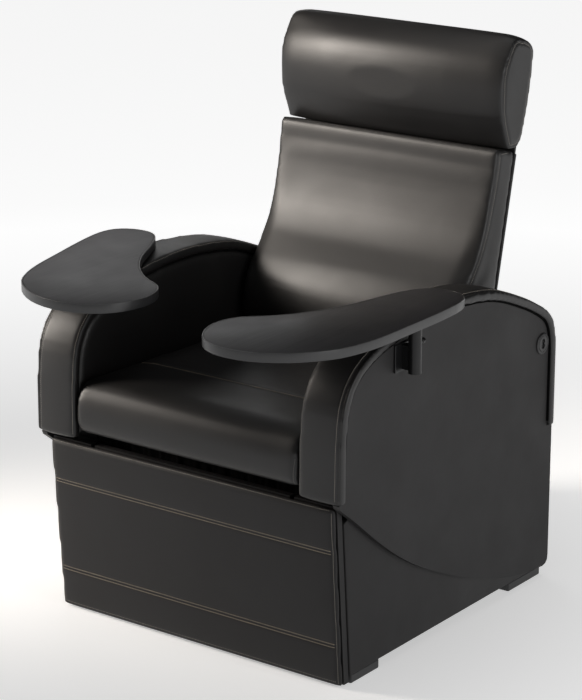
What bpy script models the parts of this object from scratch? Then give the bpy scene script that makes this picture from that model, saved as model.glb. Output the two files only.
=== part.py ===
"""Reclining pedicure spa chair: boxed base, padded arms, two swivel trays, a reclining back with a
sliding headrest, and a leg rest that one linear actuator lifts together with the back.

Metres, +Z up, the sitter faces -Y. Depths are measured from the foot of the leg rest panel, heights
from the floor; the chair_origin empty then puts the world origin under the middle of the chair."""

import math

import bmesh
import bpy
from mathutils import Matrix, Vector

# ---------------------------------------------------------------- driving dimensions
ORIGIN_SHIFT = -0.277          # depth zero to the middle of the chair's footprint
FIT = 0.0005                   # clearance between pieces that lie against each other
RUN = 0.003                    # clearance between a moving piece and its fixed neighbour

ARM_OUTSIDE = 0.760            # over both arm bands
SEAT_INSIDE = 0.558            # between the arms
BAND_THICK = 0.020
PANEL_RECESS = 0.008           # outer side panel sits back inside the arm band
PANEL_THICK = 0.014
INNER_PAD_THICK = 0.020
SIDE_BOARD = 0.0177
REAR_DEPTH = 0.742             # back of the arms and of the base
FOOT_HEIGHT = 0.020
BASE_TOP = 0.3935
DRAWN_DEPTH = 0.742            # depth and base height that the outlines below are drawn for
DRAWN_BASE = 0.3935
BAND_FOOT = BASE_TOP - 0.048   # the arms reach down this far behind the base
FLOOR_BOARD = 0.016
SEAT_BOARD = 0.0155
FRONT_RAIL = 0.020
REAR_PANEL_TOP = BASE_TOP + 0.1365  # the reclined back just clears it

LEAN = 0.0748                  # forward lean of the leg rest panel, run over rise
PANEL_TOP = BASE_TOP - 0.011
PANEL_FOOT = 0.004
LEG_PAD = 0.011
LEG_BOARD = 0.016
LEG_AXIS = (LEAN * (DRAWN_BASE - BASE_TOP) - 0.008, BASE_TOP - 0.0355)  # (depth, height) of its hinge
LEG_LEVER = 0.060
LEG_SWING = math.radians(75)
LEG_HINGE_X = 0.250
LEG_PIN_R = 0.003

BACK_AXIS = (0.600, BASE_TOP + 0.0565)
BACK_SWING = math.radians(30)
BACK_WIDTH = SEAT_INSIDE - 0.006
BACK_LEAN = math.radians(12.7)
BACK_FOOT = (0.6388, BASE_TOP + 0.1065)  # lowest point of the back's rear face
BACK_COVER = 0.008
BACK_BOARD = 0.015
BACK_BOARD_TALL = 0.420
BACK_BOARD_HALF = BACK_WIDTH / 2 - 0.026
HINGE_X = BACK_WIDTH / 2 - 0.0182  # inner face of the back's hinge brackets
LINK_LEVER = 0.141
DRIVE_LEVER = 0.075
DRIVE_SLOPE = math.radians(32)
DRIVE_ANCHOR_HEIGHT = 0.100
DRIVE_X = 0.030
LINK_X = -0.020
LINK_THICK = 0.008
LINK_PIN_R = 0.004
DRIVE_PIN_R = 0.005

HEAD_WIDTH = BACK_WIDTH + 0.012
HEAD_POST_X = 0.150
HEAD_POST_R = 0.006
HEAD_POST_T = 0.036            # forward of the back's rear face
FLAP_THICK = 0.0055

TRAY_AXIS = (ARM_OUTSIDE / 2 + 0.020, 0.175)  # (across, depth) of the right tray's post
TRAY_UNDERSIDE = BASE_TOP + 0.3210
TRAY_THICK = 0.018
TRAY_EDGE = 0.0025
TRAY_TURN_RIGHT = math.radians(1.0)
TRAY_TURN_LEFT = math.radians(-15.0)
POST_R = 0.0092
BRACKET_TUBE_R = POST_R + 0.0038
BRACKET_FOOT = TRAY_UNDERSIDE - 0.1065
BRACKET_TOP = TRAY_UNDERSIDE - 0.0145

SWITCH = (REAR_DEPTH - 0.049, BASE_TOP + 0.140)  # (depth, height) of the switch on the right side
SWITCH_LONG = 0.035
SWITCH_R = 0.0225
BUTTON_R = 0.0044
BUTTON_PITCH = 0.0098

ARM_OUT = ARM_OUTSIDE / 2
ARM_IN = SEAT_INSIDE / 2
PANEL_OUT = ARM_OUT - PANEL_RECESS
PANEL_IN = PANEL_OUT - PANEL_THICK
BASE_OUT = PANEL_IN - FIT / 2
BASE_IN = BASE_OUT - SIDE_BOARD
SEAT_RISE = 0.1220             # top of the seat above the base
SIDES = (("left", -1), ("right", 1))

# outline of an arm, from its front foot over the top to its rear foot (depth, height above the base)
ARM_OUTLINE = [
    (-0.0400, 0.0005), (-0.0385, 0.0565), (-0.0360, 0.1265), (-0.0250, 0.1945), (0.0080, 0.2435),
    (0.0600, 0.2750), (0.1300, 0.2955), (0.2100, 0.3105), (0.3100, 0.3175), (0.4000, 0.3140),
    (0.5000, 0.2990), (0.5900, 0.2675), (0.6720, 0.2300), (0.7220, 0.1945), (0.7405, 0.1415),
    (0.7420, 0.0765), (0.7420, -0.0475),
]
# sweeping lower edge of the outer side panel (depth, height from the floor)
PANEL_SWEEP = [
    (-0.0300, 0.3840), (0.0230, 0.3425), (0.0950, 0.2830), (0.1680, 0.2290), (0.2440, 0.1820),
    (0.3220, 0.1430), (0.4010, 0.1080), (0.4830, 0.0780), (0.5670, 0.0520), (0.6430, 0.0360),
    (0.7220, 0.0280),
]
# front of the back cushion, bottom to top (depth, height above the base)
BACK_FRONT = [
    (0.5120, 0.1065), (0.4890, 0.1265), (0.4850, 0.1665), (0.4960, 0.2185), (0.5220, 0.2615),
    (0.5530, 0.2955), (0.5820, 0.3270), (0.6130, 0.3765), (0.6360, 0.4425), (0.6470, 0.4975),
    (0.6520, 0.5345), (0.6600, 0.5450),
]
# headrest section, anticlockwise from its lowest point (depth, height above the base)
HEAD_SECTION = [
    (0.7270, 0.5450), (0.7440, 0.5565), (0.7610, 0.6065), (0.7735, 0.6565), (0.7815, 0.6975),
    (0.7835, 0.7425), (0.7550, 0.7625), (0.7150, 0.7715), (0.6860, 0.7575), (0.6575, 0.7265),
    (0.6440, 0.6875), (0.6430, 0.6415), (0.6510, 0.5985), (0.6820, 0.5635),
]
# seat cushion from the rear of its underside round the front to the rear of its top
SEAT_FRONT = [
    (-0.0220, 0.0105), (-0.0360, 0.0195), (-0.0425, 0.0465), (-0.0415, 0.0765), (-0.0300, 0.1045),
    (-0.0050, 0.1190), (0.0450, SEAT_RISE), (0.1570, 0.1180), (0.3500, 0.1145), (0.4900, 0.1095),
]
# tray board, measured from its post: rear lobe, outer edge, front lobe, hollow inner edge
TRAY_OUTLINE = [
    (-0.017, 0.157), (0.020, 0.142), (0.039, 0.100), (0.045, 0.020), (0.045, -0.080),
    (0.044, -0.180), (0.034, -0.250), (0.013, -0.305), (-0.036, -0.362), (-0.100, -0.397),
    (-0.168, -0.401), (-0.222, -0.375), (-0.254, -0.325), (-0.262, -0.275), (-0.246, -0.226),
    (-0.196, -0.176), (-0.152, -0.106), (-0.124, -0.030), (-0.108, 0.045), (-0.087, 0.115),
    (-0.058, 0.148),
]


# ---------------------------------------------------------------- scene and materials
def clear_scene():
    for item in list(bpy.data.objects):
        bpy.data.objects.remove(item, do_unlink=True)


def add_collection(name):
    collection = bpy.data.collections.new(name)
    bpy.context.scene.collection.children.link(collection)
    return collection


def add_empty(name, location, parent=None):
    empty = bpy.data.objects.new(name, None)
    empty.empty_display_size = 0.05
    empty.location = location
    empty.parent = parent
    PARTS.objects.link(empty)
    return empty


def add_finish(name, color, roughness, metallic=0.0):
    material = bpy.data.materials.new(name)
    material.use_nodes = True
    shader = material.node_tree.nodes["Principled BSDF"]
    shader.inputs["Base Color"].default_value = (*color, 1.0)
    shader.inputs["Roughness"].default_value = roughness
    shader.inputs["Metallic"].default_value = metallic
    return material


clear_scene()
PARTS = add_collection("pedicure_spa_chair")
CUTTERS = add_collection("cutters")
ORIGIN = add_empty("chair_origin", (0, ORIGIN_SHIFT, 0))
FINISHES = {
    "vinyl": add_finish("black_vinyl", (0.012, 0.011, 0.011), 0.38),
    "side_vinyl": add_finish("side_vinyl", (0.018, 0.018, 0.018), 0.55),
    "laminate": add_finish("tray_laminate", (0.045, 0.045, 0.047), 0.50),
    "edge": add_finish("tray_edging", (0.012, 0.012, 0.013), 0.35),
    "ply": add_finish("birch_plywood", (0.45, 0.31, 0.18), 0.60),
    "steel": add_finish("painted_steel", (0.015, 0.015, 0.016), 0.40, 0.0),
    "zinc": add_finish("zinc_plated_steel", (0.55, 0.56, 0.57), 0.35, 1.0),
    "plastic": add_finish("black_plastic", (0.020, 0.020, 0.021), 0.45),
    "fabric": add_finish("dust_cloth", (0.010, 0.010, 0.010), 0.95),
}


# ---------------------------------------------------------------- outlines
def deepened(points):
    """An outline stretched rearwards to the actual depth; what stands in front of the seat stays."""
    return [(max(d, 0) * REAR_DEPTH / DRAWN_DEPTH + min(d, 0), height) for d, height in points]


def above_base(points):
    return [(depth, BASE_TOP + rise) for depth, rise in points]


def smooth(points, steps=4, closed=False):
    """Points along a Catmull-Rom curve through the given ones."""
    count = len(points)
    spans = count if closed else count - 1
    fine = []
    for span in range(spans):
        if closed:
            four = [Vector(points[(span + k - 1) % count]) for k in range(4)]
        else:
            four = [Vector(points[min(max(span + k - 1, 0), count - 1)]) for k in range(4)]
        before, start, end, after = four
        for step in range(steps):
            t = step / steps
            fine.append(0.5 * (
                2 * start
                + (end - before) * t
                + (2 * before - 5 * start + 4 * end - after) * t ** 2
                + (3 * start - before - 3 * end + after) * t ** 3
            ))
    if not closed:
        fine.append(Vector(points[-1]))
    return fine


def offset(line, distance, closed=False):
    """The line moved to its right-hand side, seen along its direction."""
    moved = []
    last = len(line) - 1
    for index, point in enumerate(line):
        if closed:
            along = line[(index + 1) % len(line)] - line[index - 1]
        else:
            along = line[min(index + 1, last)] - line[max(index - 1, 0)]
        along.normalize()
        moved.append(point + Vector((along.y, -along.x)) * distance)
    return moved


def circle(center, radius, count=24):
    turns = (2 * math.pi * k / count for k in range(count))
    return [Vector((center[0] + radius * math.cos(a), center[1] + radius * math.sin(a))) for a in turns]


def slot(low, high, radius, count=12):
    """Oblong hole between two centres, one above the other."""
    upper = (math.pi * k / count for k in range(count + 1))
    lower = (math.pi + math.pi * k / count for k in range(count + 1))
    around = [Vector((high[0] + radius * math.cos(a), high[1] + radius * math.sin(a))) for a in upper]
    return around + [Vector((low[0] + radius * math.cos(a), low[1] + radius * math.sin(a))) for a in lower]


def polar(center, radius, angle):
    """A point below an axis: the angle opens rearwards from straight down."""
    return (center[0] + radius * math.sin(angle), center[1] - radius * math.cos(angle))


def hull(circles, count=24):
    """Outline of a plate that wraps several round bosses: the convex hull of their circles."""
    points = sorted({(round(p.x, 6), round(p.y, 6)) for c, r in circles for p in circle(c, r, count)})

    def half(ordered):
        chain = []
        for point in ordered:
            while len(chain) > 1:
                (ax, ay), (bx, by) = chain[-2], chain[-1]
                if (bx - ax) * (point[1] - ay) - (by - ay) * (point[0] - ax) > 0:
                    break
                chain.pop()
            chain.append(point)
        return chain[:-1]

    return [Vector(p) for p in half(points) + half(points[::-1])]


def on_back(along, forward):
    """(depth, height) of a point given along the back's rear face and forward of it."""
    return Vector((
        BACK_FOOT[0] + along * math.sin(BACK_LEAN) - forward * math.cos(BACK_LEAN),
        BACK_FOOT[1] + along * math.cos(BACK_LEAN) + forward * math.sin(BACK_LEAN),
    ))


def panel_depth(height, behind=0.0):
    """Depth of the leaning leg rest panel's front face at a height."""
    return -LEAN * height + behind


# ---------------------------------------------------------------- solids
AXIS_TURNS = {
    "X": Matrix(((0, 0, 1), (1, 0, 0), (0, 1, 0))),
    "Y": Matrix(((1, 0, 0), (0, 0, -1), (0, 1, 0))),
    "Z": Matrix.Identity(3),
}


def place(name, mesh, finish, location=(0, 0, 0), turn=None):
    item = bpy.data.objects.new(name, mesh)
    item.location = location
    if turn is not None:
        item.rotation_euler = turn.to_euler()
    item.parent = ORIGIN
    PARTS.objects.link(item)
    mesh.materials.clear()
    mesh.materials.append(FINISHES[finish])
    return item


def soften(item, width, segments=2, angle=50):
    if width:
        bevel = item.modifiers.new("edges", "BEVEL")
        bevel.width = width
        bevel.segments = segments
        bevel.limit_method = "ANGLE"
        bevel.angle_limit = math.radians(angle)
    return item


def box(name, across, deep, high, finish, bevel=0.0):
    """Block between (low, high) pairs across, in depth and in height."""
    spans = (across, deep, high)
    bpy.ops.mesh.primitive_cube_add(size=1)
    cube = bpy.context.object
    mesh = cube.data
    mesh.transform(Matrix.Diagonal([b - a for a, b in spans]).to_4x4())
    bpy.data.objects.remove(cube)
    center = [(a + b) / 2 for a, b in spans]
    return soften(place(name, mesh, finish, center), bevel)


def cylinder(name, start, end, radius, finish, sides=32):
    start, end = Vector(start), Vector(end)
    bpy.ops.mesh.primitive_cylinder_add(vertices=sides, radius=radius, depth=(end - start).length)
    rod = bpy.context.object
    mesh = rod.data
    bpy.data.objects.remove(rod)
    turn = (end - start).to_track_quat("Z", "Y").to_matrix()
    item = place(name, mesh, finish, (start + end) / 2, turn)
    mesh.shade_smooth()
    mesh.set_sharp_from_angle(angle=math.radians(40))
    return item


def flat(name, outline, span, axis, finish, holes=(), bevel=0.0, segments=2):
    """A flat outline, with holes, thickened between two places on an axis."""
    curve = bpy.data.curves.new(name, "CURVE")
    curve.dimensions = "2D"
    curve.fill_mode = "BOTH"
    curve.extrude = (span[1] - span[0]) / 2
    for ring in (outline, *holes):
        spline = curve.splines.new("POLY")
        spline.points.add(len(ring) - 1)
        for point, (u, v) in zip(spline.points, ring):
            point.co = (u, v, 0, 1)
        spline.use_cyclic_u = True
    guide = bpy.data.objects.new(name + "_guide", curve)
    CUTTERS.objects.link(guide)
    graph = bpy.context.evaluated_depsgraph_get()
    mesh = bpy.data.meshes.new_from_object(guide.evaluated_get(graph))
    bpy.data.objects.remove(guide)
    bpy.data.curves.remove(curve)
    work = bmesh.new()
    work.from_mesh(mesh)
    bmesh.ops.remove_doubles(work, verts=work.verts, dist=0.00001)
    bmesh.ops.recalc_face_normals(work, faces=work.faces)
    work.to_mesh(mesh)
    work.free()
    middle = (span[0] + span[1]) / 2
    location = {"X": (middle, 0, 0), "Y": (0, middle, 0), "Z": (0, 0, middle)}[axis]
    return soften(place(name, mesh, finish, location, AXIS_TURNS[axis]), bevel, segments)


def turned(name, profile, foot, top, finish, steps=32):
    """A profile of (radius, height) pairs, top to bottom, turned about the line from foot to top."""
    mesh = bpy.data.meshes.new(name)
    chain = [(radius, 0, height) for radius, height in profile]
    mesh.from_pydata(chain, [(k, k + 1) for k in range(len(chain) - 1)], [])
    turn = (Vector(top) - Vector(foot)).to_track_quat("Z", "Y").to_matrix()
    item = place(name, mesh, finish, foot, turn)
    screw = item.modifiers.new("turn", "SCREW")
    screw.steps = screw.render_steps = steps
    screw.use_merge_vertices = True
    screw.merge_threshold = 0.00001
    return item


def combine(item, other, operation):
    """Boolean of two pieces; the second becomes a hidden tool."""
    change = item.modifiers.new(operation.lower(), "BOOLEAN")
    change.operation = operation
    change.object = other
    PARTS.objects.unlink(other)
    CUTTERS.objects.link(other)
    other.hide_render = True
    other.display_type = "WIRE"
    return item


def cut(item, *tools):
    for tool in tools:
        combine(item, tool, "DIFFERENCE")
    return item


def weld(item, *others):
    for other in others:
        combine(item, other, "UNION")
    return item


def ride_on(pivot, *items):
    """Hangs pieces on the empty that stands on their joint's axis."""
    for item in items:
        item.location -= pivot.location
        item.parent = pivot


def across(side, near, far):
    """A span given outwards from the middle, on the left or the right."""
    return tuple(sorted((side * near, side * far)))


# ---------------------------------------------------------------- base and seat
def build_base():
    foot_line = FOOT_HEIGHT + FIT
    for side_name, side in SIDES:
        behind_panel = LEG_PAD + LEG_BOARD + RUN
        outline = [
            (panel_depth(foot_line, behind_panel), foot_line),
            (panel_depth(BASE_TOP - 0.0515, behind_panel), BASE_TOP - 0.0515),
            (0.0205, BASE_TOP - 0.0435), (0.0205, BASE_TOP),
            (REAR_DEPTH - BAND_THICK - FIT, BASE_TOP), (REAR_DEPTH - BAND_THICK - FIT, BAND_FOOT),
            (REAR_DEPTH, BAND_FOOT), (REAR_DEPTH, foot_line),
        ]
        flat(f"base_side_{side_name}", outline, across(side, BASE_IN, BASE_OUT), "X", "side_vinyl")
        for end, depths in (("front", (0.034, 0.130)), ("rear", (REAR_DEPTH - 0.130, REAR_DEPTH - 0.004))):
            box(f"foot_{end}_{side_name}", across(side, BASE_OUT - 0.06175, BASE_OUT - 0.002), depths,
                (0, FOOT_HEIGHT), "plastic", 0.003)

    inner = BASE_IN - FIT
    narrow = ARM_IN - FIT
    box("base_floor_board", (-inner, inner), (0.045, REAR_DEPTH - SIDE_BOARD - FIT),
        (foot_line, foot_line + FLOOR_BOARD), "ply")
    rail_depths = (0.024, 0.024 + FRONT_RAIL)
    box("base_front_rail", (-inner, inner), rail_depths,
        (BASE_TOP - 0.0635, BASE_TOP - SEAT_BOARD - FIT), "ply")
    rear = [
        (-inner, foot_line), (inner, foot_line), (inner, BAND_FOOT), (narrow, BAND_FOOT),
        (narrow, REAR_PANEL_TOP), (-narrow, REAR_PANEL_TOP), (-narrow, BAND_FOOT), (-inner, BAND_FOOT),
    ]
    rear_panel = flat("base_rear_panel", rear, (REAR_DEPTH - SIDE_BOARD, REAR_DEPTH), "Y", "side_vinyl")
    inlet = (-0.240, 0.110)
    through = REAR_DEPTH + 0.018
    cut(rear_panel, box("inlet_cut", (inlet[0] - 0.015, inlet[0] + 0.015), (REAR_DEPTH - 0.04, through),
                        (inlet[1] - 0.011, inlet[1] + 0.011), "ply"))
    body = box("power_inlet", (inlet[0] - 0.0145, inlet[0] + 0.0145), (REAR_DEPTH - 0.027, REAR_DEPTH + 0.002),
               (inlet[1] - 0.0105, inlet[1] + 0.0105), "plastic")
    flange = box("inlet_flange", (inlet[0] - 0.024, inlet[0] + 0.024),
                 (REAR_DEPTH + FIT, REAR_DEPTH + 0.0035), (inlet[1] - 0.014, inlet[1] + 0.014), "plastic")
    mouth = box("inlet_mouth", (inlet[0] - 0.011, inlet[0] + 0.011), (REAR_DEPTH - 0.014, through),
                (inlet[1] - 0.008, inlet[1] + 0.008), "plastic")
    cut(weld(body, flange), mouth)

    board = box("seat_board", (-inner, inner), (0.024, REAR_DEPTH - 0.042), (BASE_TOP - SEAT_BOARD, BASE_TOP), "ply")
    cut(board, box("lever_notch", (-0.080, 0.080), (0.530, REAR_DEPTH), (BASE_TOP - 0.1, BASE_TOP + 0.1), "ply"))
    half = BACK_WIDTH / 2
    box("front_liner", (-half, half), (0.0195, 0.0235), (BASE_TOP - 0.0275, BASE_TOP + 0.0085), "fabric")

    underside = [(0.532, FIT), (0.026, FIT), (0.026, 0.010)]
    seat = above_base(underside + smooth(SEAT_FRONT, 3) + [(0.524, 0.1005), (0.532, 0.0765)])
    flat("seat_cushion", seat, (-half, half), "X", "vinyl", bevel=0.010, segments=3)


# ---------------------------------------------------------------- arms
def build_arms():
    outer = smooth(above_base(deepened(ARM_OUTLINE)), 3)
    inner = offset(outer, BAND_THICK)
    lining = offset(outer, BAND_THICK + FIT)
    arch = [p for p in lining if p.y > BASE_TOP + FIT]
    filled = [Vector((arch[0].x, BASE_TOP + FIT)), *arch, Vector((arch[-1].x, BASE_TOP + FIT))]
    sweep = [(depth, height * BASE_TOP / DRAWN_BASE) for depth, height in deepened(PANEL_SWEEP)]
    corner = [(REAR_DEPTH - 0.008, 0.031), (REAR_DEPTH - 0.0015, 0.038), (REAR_DEPTH, 0.050),
              (REAR_DEPTH, BAND_FOOT), (lining[-1].x, BAND_FOOT)]
    panel = smooth(sweep, 3) + [Vector(p) for p in corner] + lining[::-1]
    panel += [Vector((lining[0].x, BASE_TOP - 0.001)), Vector((-0.034, BASE_TOP - 0.001))]
    for side_name, side in SIDES:
        flat(f"arm_band_{side_name}", outer + inner[::-1], across(side, ARM_IN, ARM_OUT), "X", "vinyl")
        frame = flat(f"arm_frame_{side_name}", filled,
                     across(side, ARM_IN + INNER_PAD_THICK + FIT, PANEL_IN - FIT), "X", "ply")
        flat(f"arm_inner_pad_{side_name}", filled,
             across(side, ARM_IN + 0.002, ARM_IN + INNER_PAD_THICK), "X", "vinyl")
        cover = flat(f"side_panel_{side_name}", panel, across(side, PANEL_IN, PANEL_OUT), "X", "side_vinyl")
        if side > 0:
            bore = SWITCH_R / 2
            for piece, depth in ((frame, PANEL_OUT - SWITCH_LONG - 0.001), (cover, PANEL_IN - 0.01)):
                start, end = (depth, *SWITCH), (PANEL_OUT + 0.01, *SWITCH)
                cut(piece, cylinder("switch_bore_" + piece.name, start, end, bore, "plastic"))


def build_switch():
    body_r = SWITCH_R / 2 - FIT
    centers = [(SWITCH[0], SWITCH[1] + step * BUTTON_PITCH / 2) for step in (-1, 1)]
    body = cylinder("switch_housing", (PANEL_OUT - SWITCH_LONG, *SWITCH), (PANEL_OUT - FIT, *SWITCH),
                    body_r, "plastic")
    bezel = cylinder("switch_bezel", (PANEL_OUT + FIT, *SWITCH), (PANEL_OUT + 0.0035, *SWITCH),
                     SWITCH_R, "plastic", 48)
    for name, center in zip(("recline_button", "raise_button"), centers):
        start, beyond = PANEL_OUT - 0.006, PANEL_OUT + 0.028
        cut(body, cylinder(name + "_bore", (start - 0.003, *center), (beyond, *center),
                           BUTTON_R + 0.0003, "plastic"))
        cut(bezel, cylinder(name + "_window", (start, *center), (beyond, *center),
                            BUTTON_R + 0.0008, "plastic"))
        button = cylinder(name, (start, *center), (PANEL_OUT + 0.0042, *center), BUTTON_R, "plastic")
        soften(button, 0.0008)
        ride_on(add_empty(name + "_slide", (PANEL_OUT, *center), ORIGIN), button)


# ---------------------------------------------------------------- trays
def turn_outline(points, angle, side):
    turn = Matrix.Rotation(angle, 2)
    ring = [turn @ Vector(p) for p in points]
    return [Vector((side * p.x, p.y)) for p in ring][::side]


def build_trays():
    whole = smooth(TRAY_OUTLINE, 3, closed=True)
    inside = offset(whole, TRAY_EDGE, closed=True)
    core = offset(whole, TRAY_EDGE + FIT / 2, closed=True)
    top = TRAY_UNDERSIDE + TRAY_THICK
    for side_name, side in SIDES:
        turn = TRAY_TURN_RIGHT if side > 0 else TRAY_TURN_LEFT
        axis = (side * TRAY_AXIS[0], TRAY_AXIS[1])
        pivot = add_empty(f"tray_pivot_{side_name}", (*axis, TRAY_UNDERSIDE), ORIGIN)
        span = (TRAY_UNDERSIDE, top)
        board = flat(f"tray_board_{side_name}", turn_outline(core, turn, side), span, "Z", "laminate")
        edging = flat(f"tray_edging_{side_name}", turn_outline(whole, turn, side), span, "Z", "edge",
                      holes=[turn_outline(inside, turn, side)])
        for item in (board, edging):
            item.location.x += axis[0]
            item.location.y += axis[1]

        plate_top, collar = TRAY_UNDERSIDE - FIT, POST_R + 0.003
        profile = [
            (0, plate_top - BRACKET_FOOT), (0.036, plate_top - BRACKET_FOOT),
            (0.036, plate_top - 0.004 - BRACKET_FOOT), (collar, plate_top - 0.005 - BRACKET_FOOT),
            (collar, BRACKET_TOP + FIT - BRACKET_FOOT), (POST_R, BRACKET_TOP + FIT - BRACKET_FOOT),
            (POST_R, 0.003), (0, 0.003),
        ]
        foot, head = (*axis, BRACKET_FOOT), (*axis, BRACKET_TOP)
        post = turned(f"tray_post_{side_name}", profile, foot, head, "steel")
        ride_on(pivot, board, edging, post)

        plate = box(f"tray_bracket_{side_name}", across(side, PANEL_OUT + FIT, PANEL_OUT + 0.0045),
                    (axis[1] - 0.031, axis[1] + 0.031), (BRACKET_FOOT + 0.002, BRACKET_FOOT + 0.058), "steel",
                    0.001)
        web = box("bracket_web", across(side, PANEL_OUT + 0.003, TRAY_AXIS[0] - 0.005),
                  (axis[1] - 0.009, axis[1] + 0.009), (BRACKET_FOOT + 0.006, BRACKET_FOOT + 0.054), "steel")
        tube = cylinder("bracket_tube", foot, head, BRACKET_TUBE_R, "steel")
        boss_z = BRACKET_FOOT + 0.059
        boss = cylinder("bracket_boss", (axis[0], axis[1], boss_z), (axis[0], axis[1] + BRACKET_TUBE_R + 0.006, boss_z),
                        0.0055, "steel", 24)
        bore = cylinder("bracket_bore", (*axis, BRACKET_FOOT - 0.02), (*axis, BRACKET_TOP + 0.02), POST_R + FIT, "steel")
        pin_bore = cylinder("bracket_pin_bore", (axis[0], axis[1], boss_z),
                            (axis[0], axis[1] + 0.03, boss_z), 0.0025 + FIT, "steel", 24)
        cut(weld(plate, web, tube, boss), bore, pin_bore)

        grip = BRACKET_TUBE_R - POST_R + 0.0062
        knob = turned(f"tray_lock_knob_{side_name}", [
            (0, grip + 0.010), (0.0050, grip + 0.010), (0.0060, grip + 0.0088), (0.0060, grip + 0.0012),
            (0.0050, grip), (0.0025, grip), (0.0025, 0), (0, 0),
        ], (axis[0], axis[1] + POST_R + 0.0006, boss_z), (axis[0], axis[1] + 0.1, boss_z), "plastic", 20)
        slide = add_empty(f"tray_lock_slide_{side_name}", (axis[0], axis[1] + 0.012, boss_z), ORIGIN)
        ride_on(slide, knob)


# ---------------------------------------------------------------- back and headrest
def build_back():
    pivot = add_empty("back_pivot", (0, *BACK_AXIS), ORIGIN)
    half = BACK_WIDTH / 2
    top = 0.4325
    rear_face = [on_back(top - 0.006, BACK_COVER + FIT), on_back(0, BACK_COVER + FIT)]
    section = smooth(above_base(BACK_FRONT), 3) + [on_back(top, BACK_COVER + 0.010)] + rear_face
    cushion = flat("back_cushion", section, (-half, half), "X", "vinyl", bevel=0.006, segments=2)
    pocket = [on_back(s, t) for s, t in (
        (-0.02, BACK_COVER - 0.004), (BACK_BOARD_TALL + FIT, BACK_COVER - 0.004),
        (BACK_BOARD_TALL + FIT, BACK_COVER + BACK_BOARD + 2 * FIT), (-0.02, BACK_COVER + BACK_BOARD + 2 * FIT),
    )]
    cut(cushion, flat("board_pocket", pocket, (-BACK_BOARD_HALF - FIT, BACK_BOARD_HALF + FIT), "X", "ply"))
    sheet = [on_back(s, t) for s, t in (
        (0, BACK_COVER + FIT), (BACK_BOARD_TALL, BACK_COVER + FIT),
        (BACK_BOARD_TALL, BACK_COVER + BACK_BOARD + FIT), (0, BACK_COVER + BACK_BOARD + FIT),
    )]
    board = flat("back_board", sheet, (-BACK_BOARD_HALF, BACK_BOARD_HALF), "X", "ply")
    skin = [on_back(s, t) for s, t in ((0, 0), (top - 0.006, 0), (top - 0.006, BACK_COVER), (0, BACK_COVER))]
    cover = flat("back_rear_cover", skin, (-half + 0.001, half - 0.001), "X", "vinyl", bevel=0.002)
    ride_on(pivot, cushion, board, cover)

    # one welded frame turns on the hinge bolts and carries the two levers
    drive, link = drive_pin(0), link_pin(0)
    frame = cylinder("back_pivot_frame", (0.0008 - HINGE_X, *BACK_AXIS), (HINGE_X - 0.0008, *BACK_AXIS), 0.014,
                     "steel", 24)
    flange = [on_back(s, t) for s, t in ((-0.006, 0.002), (-0.0008, 0.002), (-0.0008, 0.023), (-0.006, 0.023))]
    weld(frame, flat("frame_flange", flange, (0.0128 - HINGE_X, HINGE_X - 0.0128), "X", "steel"))
    for arm_x in (0.0228 - HINGE_X, HINGE_X - 0.0228):
        arm = hull([(BACK_AXIS, 0.0125), (on_back(-0.008, 0.005), 0.003), (on_back(-0.008, 0.019), 0.003)])
        weld(frame, flat(f"frame_arm_{arm_x:.3f}", arm, (arm_x - 0.0025, arm_x + 0.0025), "X", "steel"))
    levers = hull([(BACK_AXIS, 0.018), (drive, 0.012), (link, 0.011)])
    for lever_x in (-0.045, 0.052):
        weld(frame, flat(f"frame_lever_{lever_x}", levers, (lever_x - 0.003, lever_x + 0.003), "X", "steel"))
    for name, center, radius in (("drive", drive, DRIVE_PIN_R), ("link", link, LINK_PIN_R)):
        weld(frame, cylinder(f"frame_{name}_pin", (-0.046, *center), (0.053, *center), radius, "steel", 24))
    for side_name, side in SIDES:
        inside, outside = side * (HINGE_X - 0.0328), side * (HINGE_X + 0.04)
        cut(frame, cylinder(f"frame_bore_{side_name}", (inside, *BACK_AXIS), (outside, *BACK_AXIS),
                            0.0065, "steel", 24))
        plate = hull([(BACK_AXIS, 0.018), ((0.570, BASE_TOP + 0.008), 0.004),
                      ((0.630, BASE_TOP + 0.008), 0.004)])
        upright = flat(f"back_hinge_bracket_{side_name}", plate, across(side, HINGE_X, HINGE_X + 0.005), "X",
                       "steel")
        base = box("hinge_base", across(side, HINGE_X - 0.0358, HINGE_X + 0.005), (0.566, 0.634),
                   (BASE_TOP + FIT, BASE_TOP + 0.0055), "steel")
        hole = cylinder("hinge_hole", (inside, *BACK_AXIS), (outside, *BACK_AXIS), 0.0063, "steel", 24)
        trim = box("hinge_trim", across(side, HINGE_X - 0.05, HINGE_X + 0.02), (0.54, 0.66), (BASE_TOP - 0.02, BASE_TOP + FIT),
                   "steel")
        cut(weld(upright, base), hole, trim)
        turned(f"back_hinge_bolt_{side_name}", [
            (0, 0.0345), (0.0085, 0.0345), (0.0100, 0.0330), (0.0100, 0.0285), (0.0060, 0.0285),
            (0.0060, 0), (0, 0),
        ], (side * (HINGE_X - 0.023), *BACK_AXIS), (outside, *BACK_AXIS), "zinc", 24)
    ride_on(pivot, frame)
    return pivot, cushion


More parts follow.
